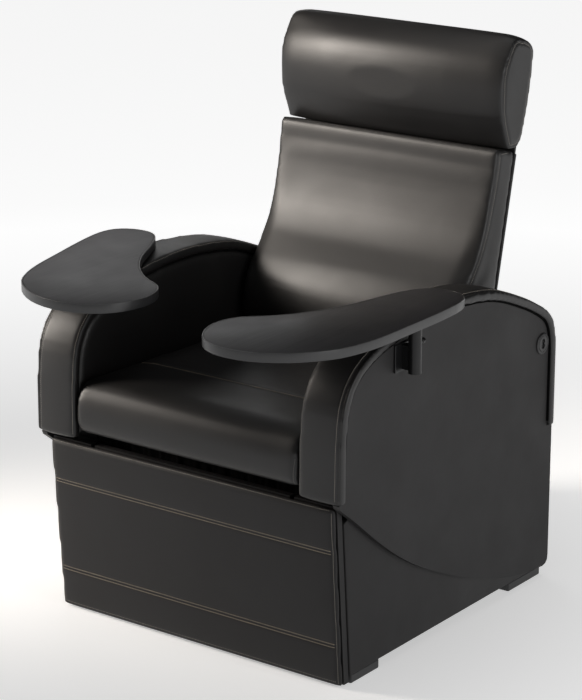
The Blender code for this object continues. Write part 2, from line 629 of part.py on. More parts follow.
def build_headrest(cushion, back_pivot):
    slide = add_empty("headrest_slide", (0, *on_back(0.45, HEAD_POST_T)), ORIGIN)
    half = HEAD_WIDTH / 2
    pad = flat("headrest_cushion", smooth(above_base(HEAD_SECTION), 3, closed=True), (-half, half), "X", "vinyl",
               bevel=0.008, segments=3)
    flap_low, flap_high, flap_half = 0.383, 0.520, BACK_WIDTH / 2 - 0.008
    sheet = [on_back(s, t) for s, t in (
        (flap_low, -FIT - FLAP_THICK), (flap_high, -FIT - FLAP_THICK), (flap_high, -FIT), (flap_low, -FIT),
    )]
    flap = flat("headrest_flap", sheet, (-flap_half, flap_half), "X", "vinyl", bevel=0.001)
    room = [on_back(s, t) for s, t in (
        (0.42, -2 * FIT - FLAP_THICK), (flap_high + FIT, -2 * FIT - FLAP_THICK), (flap_high + FIT, FIT),
        (0.42, FIT),
    )]
    cut(pad, flat("flap_room", room, (-flap_half - FIT, flap_half + FIT), "X", "vinyl"))
    posts = []
    for side_name, side in SIDES:
        across_at = side * HEAD_POST_X
        foot = (across_at, *on_back(0.250, HEAD_POST_T))
        head = (across_at, *on_back(0.560, HEAD_POST_T))
        posts.append(cylinder(f"headrest_post_{side_name}", foot, head, HEAD_POST_R, "steel", 24))
        cut(pad, cylinder(f"post_room_{side_name}", (across_at, *on_back(0.40, HEAD_POST_T)),
                          (across_at, *on_back(0.5605, HEAD_POST_T)), HEAD_POST_R + FIT, "steel", 24))
        well = (across_at, *on_back(0.240, HEAD_POST_T))
        mouth = (across_at, *on_back(0.50, HEAD_POST_T))
        cut(cushion, cylinder(f"guide_room_{side_name}", well, mouth, 0.0105, "plastic", 24))
        guide = turned(f"headrest_guide_{side_name}", [
            (HEAD_POST_R + 0.0004, 0.182), (0.0100, 0.182), (0.0100, 0), (HEAD_POST_R + 0.0004, 0),
            (HEAD_POST_R + 0.0004, 0.182),
        ], (across_at, *on_back(0.246, HEAD_POST_T)), head, "plastic", 24)
        ride_on(back_pivot, guide)
    ride_on(slide, pad, flap, *posts)


# ---------------------------------------------------------------- drive
def drive_pin(recline):
    return polar(BACK_AXIS, DRIVE_LEVER, DRIVE_SLOPE + BACK_SWING / 2 - recline)


def link_pin(recline):
    return polar(BACK_AXIS, LINK_LEVER, BACK_SWING / 2 - recline)


def build_drive():
    middle = drive_pin(BACK_SWING / 2)
    reach = (middle[1] - DRIVE_ANCHOR_HEIGHT) / math.sin(DRIVE_SLOPE)
    anchor = Vector((middle[0] - reach * math.cos(DRIVE_SLOPE), DRIVE_ANCHOR_HEIGHT))
    eye = Vector(drive_pin(0))
    length = (eye - anchor).length
    along = (eye - anchor).normalized()
    below = Vector((along.y, -along.x))

    def at(distance, down=0.0, x=DRIVE_X):
        point = anchor + along * distance + below * down
        return (x, point.x, point.y)

    floor_top = FOOT_HEIGHT + FIT + FLOOR_BOARD
    mount = box("actuator_anchor", (DRIVE_X - 0.021, DRIVE_X + 0.021), (anchor.x - 0.030, anchor.x + 0.030),
                (floor_top + FIT, floor_top + 0.006), "steel")
    for x in (-0.0185, 0.0185):
        cheek = hull([(anchor, 0.012), ((anchor.x - 0.016, floor_top + 0.006), 0.003),
                      ((anchor.x + 0.016, floor_top + 0.006), 0.003)])
        weld(mount, flat(f"anchor_cheek_{x}", cheek, (DRIVE_X + x - 0.0025, DRIVE_X + x + 0.0025), "X",
                         "steel"))
    weld(mount, cylinder("anchor_pin", (DRIVE_X - 0.020, *anchor), (DRIVE_X + 0.020, *anchor), 0.005,
                         "steel", 24))

    def corner_block(near, far, high, low):
        corners = ((near, -high), (far, -high), (far, low), (near, low))
        return [anchor + along * s + below * d for s, d in corners]

    gearbox = flat("actuator_motor", corner_block(0.030, 0.090, 0.026, 0.063),
                   (DRIVE_X - 0.026, DRIVE_X + 0.026), "X", "plastic", bevel=0.004)
    neck = flat("gearbox_neck", corner_block(0.0, 0.034, 0.011, 0.011),
                (DRIVE_X - 0.014, DRIVE_X + 0.014), "X", "plastic")
    eye_end = cylinder("gearbox_eye", (DRIVE_X - 0.014, *anchor), (DRIVE_X + 0.014, *anchor), 0.011,
                       "plastic", 24)
    motor = cylinder("motor_can", at(0.085, 0.0405), at(0.185, 0.0405), 0.021, "plastic", 32)
    bore = cylinder("gearbox_bore", (DRIVE_X - 0.03, *anchor), (DRIVE_X + 0.03, *anchor), 0.0055,
                    "steel", 24)
    cut(weld(gearbox, neck, eye_end, motor), bore)

    tube_start, tube_end = 0.0905, 0.372
    tube_long = tube_end - tube_start
    turned("actuator_tube", [
        (0.0105, tube_long), (0.0170, tube_long), (0.0170, 0), (0, 0), (0, 0.140), (0.0105, 0.140),
        (0.0105, tube_long),
    ], at(tube_start), at(tube_end), "steel", 28)
    rod = cylinder("actuator_rod", at(0.285), at(length - 0.010), 0.0098, "zinc", 24)
    ring = hull([(eye, 0.0145)])
    weld(rod, flat("rod_eye", ring, (DRIVE_X - 0.008, DRIVE_X + 0.008), "X", "zinc"))
    cut(rod, cylinder("rod_eye_bore", (DRIVE_X - 0.02, *eye), (DRIVE_X + 0.02, *eye),
                      DRIVE_PIN_R + RUN, "zinc", 24))
    ride_on(add_empty("actuator_stroke", at(length), ORIGIN), rod)

    box("control_box", (-0.250, -0.150), (0.480, 0.640), (floor_top + FIT, floor_top + 0.050), "plastic",
        0.004)

    rear = Vector(link_pin(0))
    front = Vector(polar(LEG_AXIS, LEG_LEVER, LEG_SWING / 2))
    # the leg rest end is slotted: its pin dips in the middle of the travel
    drop = 0.0085
    outline = hull([(rear, 0.011), (front, 0.010), (front - Vector((0, drop)), 0.010)])
    holes = [circle(rear, LINK_PIN_R + FIT, 20),
             slot(front - Vector((0, drop)), front, LINK_PIN_R + 0.0015, 8)]
    link = flat("recline_link", outline, (LINK_X - LINK_THICK / 2, LINK_X + LINK_THICK / 2), "X", "steel",
                holes=holes)
    ride_on(add_empty("link_pivot", (LINK_X, *rear), ORIGIN), link)


# ---------------------------------------------------------------- leg rest
def build_leg_rest():
    pivot = add_empty("leg_rest_pivot", (0, *LEG_AXIS), ORIGIN)
    half = BASE_OUT - 0.0015
    face = [(panel_depth(z, t), z) for z, t in (
        (PANEL_FOOT, 0), (PANEL_TOP, 0), (PANEL_TOP, LEG_PAD), (PANEL_FOOT, LEG_PAD),
    )]
    pad = flat("leg_rest_pad", face[::-1], (-half, half), "X", "vinyl", bevel=0.003)
    front, rear = LEG_PAD + FIT, LEG_PAD + LEG_BOARD
    low, high = PANEL_FOOT + 0.002, PANEL_TOP - 0.001
    sheet = [(panel_depth(z, t), z) for z, t in ((low, front), (high, front), (high, rear), (low, rear))]
    board = flat("leg_rest_board", sheet[::-1], (-half + 0.001, half - 0.001), "X", "ply")
    for side_name, side in SIDES:
        hinge = side * LEG_HINGE_X
        cut(board, box(f"hinge_slot_{side_name}", (hinge - 0.005, hinge + 0.005), (-0.06, 0.06),
                       (LEG_AXIS[1] - 0.016, BASE_TOP + 0.01), "steel"))
        cut(board, cylinder(f"hinge_bore_{side_name}", (hinge - 0.020, *LEG_AXIS), (hinge + 0.020, *LEG_AXIS),
                            LEG_PIN_R + 0.0004, "steel", 24))
        ear = [
            (0.0237, LEG_AXIS[1] + 0.005), (0.0237, LEG_AXIS[1] - 0.026), (0.014, LEG_AXIS[1] - 0.022),
            (LEG_AXIS[0] + 0.002, LEG_AXIS[1] - 0.0046),
            *[(LEG_AXIS[0] - 0.005 * math.sin(a), LEG_AXIS[1] - 0.005 * math.cos(a))
              for a in (math.radians(d) for d in range(30, 181, 30))],
        ]
        bracket = flat(f"leg_rest_bracket_{side_name}", ear, (hinge - 0.003, hinge + 0.003), "X", "steel")
        pin = cylinder("ear_pin", (hinge - 0.018, *LEG_AXIS), (hinge + 0.018, *LEG_AXIS), LEG_PIN_R,
                       "steel", 24)
        tail = box("ear_tail", (hinge - 0.020, hinge + 0.020), (0.0205, 0.0237),
                   (LEG_AXIS[1] - 0.024, LEG_AXIS[1] + 0.004), "steel")
        weld(bracket, pin, tail)

    knee = Vector(polar(LEG_AXIS, LEG_LEVER, LEG_SWING / 2))
    behind = rear + FIT
    roots = [(panel_depth(z, behind + 0.0035), z) for z in (LEG_AXIS[1] - 0.030, LEG_AXIS[1] - 0.086)]
    cheek = hull([(knee, 0.0095), (roots[0], 0.0015), (roots[1], 0.0015)])
    plate_foot, plate_top = LEG_AXIS[1] - 0.096, LEG_AXIS[1] - 0.020
    plate_line = [(panel_depth(z, t), z) for z, t in (
        (plate_foot, behind), (plate_top, behind), (plate_top, behind + 0.004), (plate_foot, behind + 0.004),
    )]
    lever = flat("leg_rest_lever", plate_line[::-1], (LINK_X - 0.030, LINK_X + 0.030), "X", "steel")
    for x in (-0.013, 0.013):
        weld(lever, flat(f"lever_cheek_{x}", cheek, (LINK_X + x - 0.0025, LINK_X + x + 0.0025), "X", "steel"))
    weld(lever, cylinder("lever_pin", (LINK_X - 0.014, *knee), (LINK_X + 0.014, *knee), LINK_PIN_R,
                         "steel", 24))
    ride_on(pivot, pad, board, lever)


build_base()
build_arms()
build_switch()
build_trays()
back_pivot, back_cushion = build_back()
build_headrest(back_cushion, back_pivot)
build_drive()
build_leg_rest()
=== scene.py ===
import math

import bmesh
import bpy
import numpy as np
from mathutils import Matrix, Vector
from mathutils.bvhtree import BVHTree
from mathutils.kdtree import KDTree


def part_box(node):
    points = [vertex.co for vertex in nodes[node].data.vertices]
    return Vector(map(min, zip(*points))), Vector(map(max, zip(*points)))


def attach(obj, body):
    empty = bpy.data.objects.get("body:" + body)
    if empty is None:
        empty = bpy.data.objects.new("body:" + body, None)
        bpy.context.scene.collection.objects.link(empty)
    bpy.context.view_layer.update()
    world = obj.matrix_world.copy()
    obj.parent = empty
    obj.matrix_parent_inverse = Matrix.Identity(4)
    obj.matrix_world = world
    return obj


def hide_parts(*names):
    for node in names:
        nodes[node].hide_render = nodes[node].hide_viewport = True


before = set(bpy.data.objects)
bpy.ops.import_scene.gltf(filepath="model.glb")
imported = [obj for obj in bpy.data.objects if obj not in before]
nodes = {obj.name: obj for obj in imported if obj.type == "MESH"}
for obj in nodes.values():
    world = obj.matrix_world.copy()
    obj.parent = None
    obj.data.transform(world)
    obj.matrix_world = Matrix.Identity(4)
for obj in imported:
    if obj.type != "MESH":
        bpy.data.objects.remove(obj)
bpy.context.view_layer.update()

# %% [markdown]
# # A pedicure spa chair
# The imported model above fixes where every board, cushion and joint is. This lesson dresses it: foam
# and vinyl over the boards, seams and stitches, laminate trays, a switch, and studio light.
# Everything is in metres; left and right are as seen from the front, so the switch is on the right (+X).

SIDES = (("left", -1), ("right", 1))

# %% [markdown]
# ## Colours and nodes
# Colours are picked as the hex values seen on a screen, and light is added up in linear values, so one
# function converts. One more adds a node: a value in its table is either a link or a plain number.

# %% Two helpers for materials
def linear(code):
    """An sRGB hex colour as linear red, green, blue and alpha."""
    parts = [int(code[i:i + 2], 16) / 255 for i in (1, 3, 5)]
    return (*[c / 12.92 if c <= 0.04045 else ((c + 0.055) / 1.055) ** 2.4 for c in parts], 1.0)


def add(tree, kind, inputs, **settings):
    """A new node with its settings, its inputs linked to sockets or set to values."""
    node = tree.nodes.new("ShaderNode" + kind)
    for name, value in settings.items():
        setattr(node, name, value)
    for name, value in inputs.items():
        if isinstance(value, bpy.types.NodeSocket):
            tree.links.new(value, node.inputs[name])
        else:
            node.inputs[name].default_value = value
    return node


def finish_named(name, **shader_values):
    """An empty material: its node tree, its shader, and the place on the object that patterns follow."""
    material = bpy.data.materials.new(name)
    material.use_nodes = True
    tree = material.node_tree
    shader = tree.nodes["Principled BSDF"]
    for socket, value in shader_values.items():
        shader.inputs[socket.replace("_", " ")].default_value = value
    place = add(tree, "TexCoord", {}).outputs["Object"]
    return material, tree, shader, place


# %% [markdown]
# ## Upholstery vinyl
# The cover is PVC-coated cloth, calendered with a pebble grain and stretched by hand. The eye reads it
# from three things: a broad soft gloss that breaks up in the grain, slow swells where the cover is
# tight or slack, and a slightly paler, drier look in patches. Real grain is about 1 mm across; here it
# is 2.2 mm, as coarse as it needs to be to show from across a room.

# %% Grained vinyl in two grades
GRAIN = 0.0022      # pebbles
SWELL = 0.055       # tight and slack places
PATCH = 0.12        # drier places


def vinyl(name, fresh, dry, gloss, grain_depth, swell_depth, **coating):
    """Black coated cloth; gloss is (tightest, slackest) roughness, depths are in metres."""
    material, tree, shader, place = finish_named(name, IOR=1.5, **coating)
    pebbles = add(tree, "TexVoronoi", {"Vector": place, "Scale": 1 / GRAIN, "Smoothness": 0.6},
                  feature="SMOOTH_F1")
    patches = add(tree, "TexNoise", {"Vector": place, "Scale": 1 / PATCH, "Detail": 4.0,
                                     "Roughness": 0.6})
    slack = add(tree, "TexNoise", {"Vector": place, "Scale": 1 / SWELL, "Detail": 2.0,
                                   "Distortion": 0.6})
    tint = add(tree, "MixRGB", {"Fac": patches.outputs["Fac"], "Color1": linear(fresh),
                                "Color2": linear(dry)})
    tree.links.new(tint.outputs["Color"], shader.inputs["Base Color"])
    sheen = add(tree, "MapRange", {"Value": patches.outputs["Fac"], "From Min": 0.3, "From Max": 0.7,
                                   "To Min": gloss[0], "To Max": gloss[1]})
    tree.links.new(sheen.outputs["Result"], shader.inputs["Roughness"])
    grain = add(tree, "Bump", {"Height": pebbles.outputs["Distance"], "Strength": 0.35,
                               "Distance": grain_depth})
    soft = add(tree, "Bump", {"Height": slack.outputs["Fac"], "Strength": 0.6, "Distance": swell_depth,
                              "Normal": grain.outputs["Normal"]})
    tree.links.new(soft.outputs["Normal"], shader.inputs["Normal"])
    return material


seat_vinyl = vinyl("upholstery_vinyl_pebble_grain", "#131213", "#1a1918", gloss=(0.42, 0.50),
                   grain_depth=0.00025, swell_depth=0.0006, Coat_Weight=0.10, Coat_Roughness=0.30,
                   Specular_IOR_Level=0.42)
side_vinyl = vinyl("side_vinyl_matt_grain", "#1c1b1c", "#222121", gloss=(0.52, 0.62),
                   grain_depth=0.00030, swell_depth=0.0004, Specular_IOR_Level=0.30)
print("vinyl grades:", seat_vinyl.name, side_vinyl.name)

# %% [markdown]
# ## Tray laminate and its edging
# The tray tops are high-pressure laminate printed as dark brushed metal: fine streaks run along the
# tray, a few of them paler. The edge is a moulded ABS lip, darker and smoother.

# %% Laminate and lipping
def brushed_laminate(name, dark, pale, roughness):
    """Streaks 4 mm wide and 160 mm long, from dark to pale, in a sheet of that middle roughness."""
    material, tree, shader, place = finish_named(name, IOR=1.5, Specular_IOR_Level=0.3)
    along = add(tree, "Mapping", {"Vector": place, "Scale": (1 / 0.004, 1 / 0.16, 1.0)})
    streaks = add(tree, "TexNoise", {"Vector": along.outputs["Vector"], "Scale": 1.0, "Detail": 6.0,
                                     "Roughness": 0.7})
    clouds = add(tree, "TexNoise", {"Vector": place, "Scale": 1 / 0.09, "Detail": 3.0})
    contrast = add(tree, "MapRange", {"Value": streaks.outputs["Fac"], "From Min": 0.36,
                                      "From Max": 0.66})
    mixed = add(tree, "MixRGB", {"Fac": contrast.outputs["Result"], "Color1": linear(dark),
                                 "Color2": linear(pale)})
    tree.links.new(mixed.outputs["Color"], shader.inputs["Base Color"])
    rough = add(tree, "MapRange", {"Value": clouds.outputs["Fac"], "To Min": roughness - 0.05,
                                   "To Max": roughness + 0.08})
    tree.links.new(rough.outputs["Result"], shader.inputs["Roughness"])
    scratch = add(tree, "Bump", {"Height": streaks.outputs["Fac"], "Strength": 0.2, "Distance": 0.0002})
    tree.links.new(scratch.outputs["Normal"], shader.inputs["Normal"])
    return material


laminate = brushed_laminate("tray_laminate_brushed_print", "#18181b", "#2b2a2d", roughness=0.40)

# %% [markdown]
# ## Moulded plastic, painted and plated steel, birch plywood, thread and cloth
# The parts of the frame that show only from below or behind get their real finish, except the base's
# floor. Moulded plastic has a fine spark-eroded texture; powder coat has orange peel about 3 mm across;
# zinc is a grey metal with crystal patches; plywood shows rotary-cut grain. The floor of the base is
# drawn near black: painted shade under the chair.

# %% Hard finishes
def textured(name, colour, worn, roughness, speck, depth, metallic=0.0, **shader_values):
    """A moulded, painted or plated finish with specks of that size, raised by depth."""
    material, tree, shader, place = finish_named(name, Metallic=metallic, **shader_values)
    specks = add(tree, "TexNoise", {"Vector": place, "Scale": 1 / speck, "Detail": 2.0})
    patches = add(tree, "TexNoise", {"Vector": place, "Scale": 1 / 0.03, "Detail": 3.0})
    mixed = add(tree, "MixRGB", {"Fac": patches.outputs["Fac"], "Color1": linear(colour),
                                 "Color2": linear(worn)})
    tree.links.new(mixed.outputs["Color"], shader.inputs["Base Color"])
    rough = add(tree, "MapRange", {"Value": patches.outputs["Fac"], "To Min": roughness - 0.06,
                                   "To Max": roughness + 0.06})
    tree.links.new(rough.outputs["Result"], shader.inputs["Roughness"])
    bump = add(tree, "Bump", {"Height": specks.outputs["Fac"], "Strength": 0.4, "Distance": depth})
    tree.links.new(bump.outputs["Normal"], shader.inputs["Normal"])
    return material


lipping = textured("tray_lipping_abs", "#1f1f20", "#29292a", roughness=0.36, speck=0.0012,
                   depth=0.0001, IOR=1.54)
moulded = textured("moulded_abs_spark_eroded", "#1a1a1b", "#242425", roughness=0.50, speck=0.0010,
                   depth=0.0002, IOR=1.54)
bezel_plastic = textured("switch_abs_satin", "#19191a", "#202021", roughness=0.50, speck=0.0010,
                         depth=0.0001, IOR=1.54)
button_plastic = textured("button_abs_gloss", "#040405", "#08080a", roughness=0.30, speck=0.0010,
                          depth=0.00005, Specular_IOR_Level=0.12)
powder_coat = textured("powder_coated_steel_black", "#0b0b0c", "#131314", roughness=0.32, speck=0.0030,
                       depth=0.0003, Specular_IOR_Level=0.3)
zinc = textured("zinc_plated_steel", "#9a9a96", "#b4b3ad", roughness=0.35, speck=0.0040, depth=0.0001,
                metallic=1.0)

# %% Plywood
def plywood(name, winter, summer):
    """Rotary-cut veneer; winter and summer are the colours of its growth bands."""
    material, tree, shader, place = finish_named(name, IOR=1.5)
    stretched = add(tree, "Mapping", {"Vector": place, "Scale": (1 / 0.18, 1 / 0.012, 1 / 0.012)})
    grain = add(tree, "TexNoise", {"Vector": stretched.outputs["Vector"], "Scale": 1.0, "Detail": 6.0,
                                   "Distortion": 0.8})
    mixed = add(tree, "MixRGB", {"Fac": grain.outputs["Fac"], "Color1": linear(winter),
                                 "Color2": linear(summer)})
    tree.links.new(mixed.outputs["Color"], shader.inputs["Base Color"])
    rough = add(tree, "MapRange", {"Value": grain.outputs["Fac"], "To Min": 0.55, "To Max": 0.75})
    tree.links.new(rough.outputs["Result"], shader.inputs["Roughness"])
    bump = add(tree, "Bump", {"Height": grain.outputs["Fac"], "Strength": 0.2, "Distance": 0.0003})
    tree.links.new(bump.outputs["Normal"], shader.inputs["Normal"])
    return material


birch = plywood("birch_plywood_rotary_cut", "#b08a5c", "#d3b184")
# Near-black plywood for the floor of the base: painted shade for the dark underside of the chair.
painted_underside_shade = plywood("birch_plywood_painted_shade_black", "#131211", "#1f1d1b")

# %% [markdown]
# Thread and the loose cloth are textiles. Upholstery thread is bonded polyester, three plies twisted,
# 1.3 mm thick here so that it shows. The cloth in the gap is a plain weave. A wave texture's bands lie
# 0.31 / scale apart, so a scale of 1 / 0.0030 sets its threads about 1 mm apart.

# %% Textiles
def thread(name, colour, pale):
    """Twisted thread, its plies from colour to pale."""
    material, tree, shader, place = finish_named(name, IOR=1.5, Sheen_Weight=0.3)
    twist = add(tree, "TexWave", {"Vector": place, "Scale": 1 / 0.0012, "Distortion": 1.0},
                bands_direction="DIAGONAL")
    mixed = add(tree, "MixRGB", {"Fac": twist.outputs["Fac"], "Color1": linear(colour),
                                 "Color2": linear(pale)})
    tree.links.new(mixed.outputs["Color"], shader.inputs["Base Color"])
    rough = add(tree, "MapRange", {"Value": twist.outputs["Fac"], "To Min": 0.6, "To Max": 0.8})
    tree.links.new(rough.outputs["Result"], shader.inputs["Roughness"])
    return material


def woven():
    """Nearly black cloth; the warp runs up and the weft across."""
    material, tree, shader, place = finish_named("gathered_lining_plain_weave", Specular_IOR_Level=0.1)
    warp = add(tree, "TexWave", {"Vector": place, "Scale": 1 / 0.0030}, bands_direction="X")
    weft = add(tree, "TexWave", {"Vector": place, "Scale": 1 / 0.0030}, bands_direction="Z")
    over = add(tree, "Math", {0: warp.outputs["Fac"], 1: weft.outputs["Fac"]}, operation="MULTIPLY")
    mixed = add(tree, "MixRGB", {"Fac": over.outputs["Value"], "Color1": linear("#080708"),
                                 "Color2": linear("#111011")})
    tree.links.new(mixed.outputs["Color"], shader.inputs["Base Color"])
    rough = add(tree, "MapRange", {"Value": over.outputs["Value"], "To Min": 0.8, "To Max": 0.95})
    tree.links.new(rough.outputs["Result"], shader.inputs["Roughness"])
    bump = add(tree, "Bump", {"Height": over.outputs["Value"], "Strength": 0.5, "Distance": 0.0004})
    tree.links.new(bump.outputs["Normal"], shader.inputs["Normal"])
    return material


grey_thread = thread("bonded_polyester_thread_grey", "#77716a", "#979086")
dark_thread = thread("bonded_polyester_thread_dark", "#5a5652", "#75706a")
tan_thread = thread("bonded_polyester_thread_tan", "#a89880", "#c4b297")
lining = woven()
# A near-black strip with almost no gloss is painted shadow: it draws the shade in the step between each
# arm strip and its side panel.
painted_shadow_black = textured("painted_shadow_strip_black", "#030303", "#060606", roughness=0.92, speck=0.0015, depth=0.0003,
                Specular_IOR_Level=0.05)

# %% [markdown]
# ## Which node has which finish
# Boards, brackets and the drive keep the shape they were made with, so they only need their finish.

# %% Finish the boards and the drive
FINISHES = {
    "birch": (birch, "back_board"),
    # The base's floor board gets the near-black plywood, painted shade for the underside.
    "painted_underside_shade": (painted_underside_shade, "base_floor_board"),
    "vinyl": (side_vinyl, "base_side base_rear_panel side_panel arm_frame base_front_rail seat_board "
                          "leg_rest_board"),
    "steel": (powder_coat, "actuator_anchor actuator_tube back_hinge_bracket back_pivot_frame "
                           "leg_rest_bracket leg_rest_lever recline_link tray_bracket headrest_post "
                           "tray_lock_knob"),
    "zinc": (zinc, "actuator_rod back_hinge_bolt"),
    "plastic": (moulded, "actuator_motor control_box foot headrest_guide power_inlet tray_post"),
    "switch": (bezel_plastic, "switch_bezel"),
    "button": (button_plastic, "recline_button raise_button switch_housing"),
    "tray": (laminate, "tray_board"),
    "lip": (lipping, "tray_edging"),
    "soft": (seat_vinyl, "arm_band arm_inner_pad seat_cushion back_cushion back_rear_cover "
                         "headrest_cushion headrest_flap leg_rest_pad front_liner"),
}
for material, stems in FINISHES.values():
    for node, thing in nodes.items():
        if any(node.startswith(stem) for stem in stems.split()):
            thing.data.materials.clear()
            thing.data.materials.append(material)
print("finished", sum(bool(n.data.materials) for n in nodes.values()), "nodes")

# %% [markdown]
# ## From a board's shape to a soft shape
# An upholsterer starts from cut foam and pulls the cover over it: every edge rounds and every face
# crowns. The copy of a solid is rebuilt as even squares, and smoothed until its edges have the radius
# of the foam's. Even squares also let a seam be pressed in anywhere later.

# %% Copying, rebuilding and smoothing
def as_piece(name, mesh, material):
    """A new object from a bmesh, in the scene, with smooth faces and its material."""
    data = bpy.data.meshes.new(name)
    mesh.to_mesh(data)
    mesh.free()
    data.materials.append(material)
    data.polygons.foreach_set("use_smooth", [True] * len(data.polygons))
    piece = bpy.data.objects.new(name, data)
    bpy.context.scene.collection.objects.link(piece)
    return piece


def settle(piece):
    """The piece with its modifiers made part of its mesh."""
    seen = piece.evaluated_get(bpy.context.evaluated_depsgraph_get())
    data = bpy.data.meshes.new_from_object(seen)
    piece.modifiers.clear()
    piece.data = data
    data.polygons.foreach_set("use_smooth", [True] * len(data.polygons))
    return piece


def merged_copy(*names):
    """The CAD nodes' shapes in one bmesh, their loose triangles joined and flat faces whole."""
    mesh = bmesh.new()
    for name in names:
        mesh.from_mesh(nodes[name].data)
    bmesh.ops.remove_doubles(mesh, verts=mesh.verts, dist=0.00001)
    bmesh.ops.dissolve_limit(mesh, angle_limit=math.radians(0.5), verts=mesh.verts, edges=mesh.edges)
    return mesh


def foam_copy(node, name, square, rounds, material=seat_vinyl):
    """The node's shape in even squares, its edges rounded by that many rounds of smoothing."""
    piece = as_piece(name, merged_copy(node), material)
    remesh = piece.modifiers.new("squares", "REMESH")
    remesh.mode, remesh.voxel_size = "VOXEL", square
    settle(piece)
    mesh = bmesh.new()
    mesh.from_mesh(piece.data)
    for _ in range(rounds):
        bmesh.ops.smooth_vert(mesh, verts=mesh.verts, factor=0.5, use_axis_x=True, use_axis_y=True,
                              use_axis_z=True)
    mesh.to_mesh(piece.data)
    mesh.free()
    return piece


def ease(share):
    """0 to 1, starting and ending gently."""
    share = np.clip(share, 0, 1)
    return share * share * (3 - 2 * share)


def coordinates(piece):
    flat = np.empty(len(piece.data.vertices) * 3)
    piece.data.vertices.foreach_get("co", flat)
    return flat.reshape(-1, 3)


def normals(piece):
    flat = np.empty(len(piece.data.vertices) * 3)
    piece.data.vertices.foreach_get("normal", flat)
    return flat.reshape(-1, 3)


def set_points(piece, points):
    piece.data.vertices.foreach_set("co", np.asarray(points).ravel())
    piece.data.update()


# %% [markdown]
# ## Stuffing
# Foam under a tight cover pushes out evenly, like air. Cloth simulation with pressure and no gravity
# gives that crown; the faces glued to a board are pinned, the movement is capped, and the box that the
# cushion must stay in keeps it clear of its neighbours.

# %% Inflating a cushion
FRAMES = 12
PRESSURE = 4.0
EVEN_OUT = 12     # rounds of averaging with the neighbours, because foam has no dents


def stuff(piece, cap, pinned, lowest, highest):
    """The piece pushed out by its stuffing, by at most cap; pinned says which points are glued down."""
    before = coordinates(piece)
    group = piece.vertex_groups.new(name="glued")
    glued = pinned(before)
    for index in np.nonzero(glued > 0)[0]:
        group.add([int(index)], float(glued[index]), "REPLACE")
    cloth = piece.modifiers.new("stuffing", "CLOTH").settings
    cloth.quality = 4
    cloth.use_pressure, cloth.uniform_pressure_force = True, PRESSURE
    cloth.effector_weights.gravity = 0
    cloth.vertex_group_mass = "glued"
    for frame_number in range(1, FRAMES + 1):
        bpy.context.scene.frame_set(frame_number)
    seen = piece.evaluated_get(bpy.context.evaluated_depsgraph_get())
    after = coordinates(seen)
    piece.modifiers.clear()
    piece.vertex_groups.clear()
    bpy.context.scene.frame_set(1)
    moved = after - before
    ends = np.array([edge.vertices[:] for edge in piece.data.edges])
    ends = np.concatenate([ends, ends[:, ::-1]])
    neighbours = np.bincount(ends[:, 0], minlength=len(moved))[:, None]
    for _ in range(EVEN_OUT):
        total = np.zeros_like(moved)
        np.add.at(total, ends[:, 0], moved[ends[:, 1]])
        moved = total / neighbours
    length = np.linalg.norm(moved, axis=1, keepdims=True)
    moved *= cap * np.tanh(length / cap) / np.maximum(length, 1e-9)
    set_points(piece, np.clip(before + moved, lowest, highest))
    print(piece.name, "swells by up to", round(float(np.abs(moved).max()) * 1000, 1), "mm")


def refine(piece):
    """One subdivision, for seams narrower than the squares."""
    step = piece.modifiers.new("finer", "SUBSURF")
    step.levels = step.render_levels = 1
    return settle(piece)


# %% [markdown]
# ## Seams and stitches
# A row of stitches pulls the cover down into a shallow valley, and each stitch is a short bead of
# thread lying in it. Lines are found by shooting rays at the finished surface, so the thread always
# lies on the cover however it has swelled.

# %% Lines on a surface
def skin(piece):
    return BVHTree.FromObject(piece, bpy.context.evaluated_depsgraph_get())


def trace(surface, starts, ends):
    """Point and normal where each line from start to end first meets the surface."""
    found = []
    for start, end in zip(starts, ends):
        start, end = Vector(start), Vector(end)
        point, normal, _, _ = surface.ray_cast(start, (end - start).normalized(), (end - start).length)
        if point is not None:
            found.append((point, normal))
    return found


def laid(surface, points):
    """Point and normal on the surface nearest to each point."""
    return [surface.find_nearest(Vector(point))[:2] for point in points]


def even(line, pitch):
    """The same line with a point and normal every pitch."""
    spots = np.array([point for point, _ in line])
    facing = np.array([normal for _, normal in line])
    run = np.concatenate([[0], np.cumsum(np.linalg.norm(np.diff(spots, axis=0), axis=1))])
    at = np.arange(0, run[-1], pitch)
    return [(Vector([np.interp(a, run, spots[:, i]) for i in range(3)]),
             Vector([np.interp(a, run, facing[:, i]) for i in range(3)]).normalized()) for a in at]


# %% Pressing a seam and sewing it
STITCH = 0.0042
THREAD = 0.0013
BEAD = 0.36     # half a bead's length, as a share of one stitch
BEAD_CORNERS = 20     # of the small sphere that each bead is
LOT = 24        # stitches made together, because each is slower than the last in one mesh


def press(piece, lines, depth, width):
    """Valleys of that depth and half width along the lines."""
    spots = [point for line in lines for point, _ in even(line, 0.003)]
    tree = KDTree(len(spots))
    for index, point in enumerate(spots):
        tree.insert(point, index)
    tree.balance()
    points, facing = coordinates(piece), normals(piece)
    away = np.array([tree.find(point)[2] for point in points])
    set_points(piece, points - facing * (depth * np.exp(-(away / width) ** 2))[:, None])


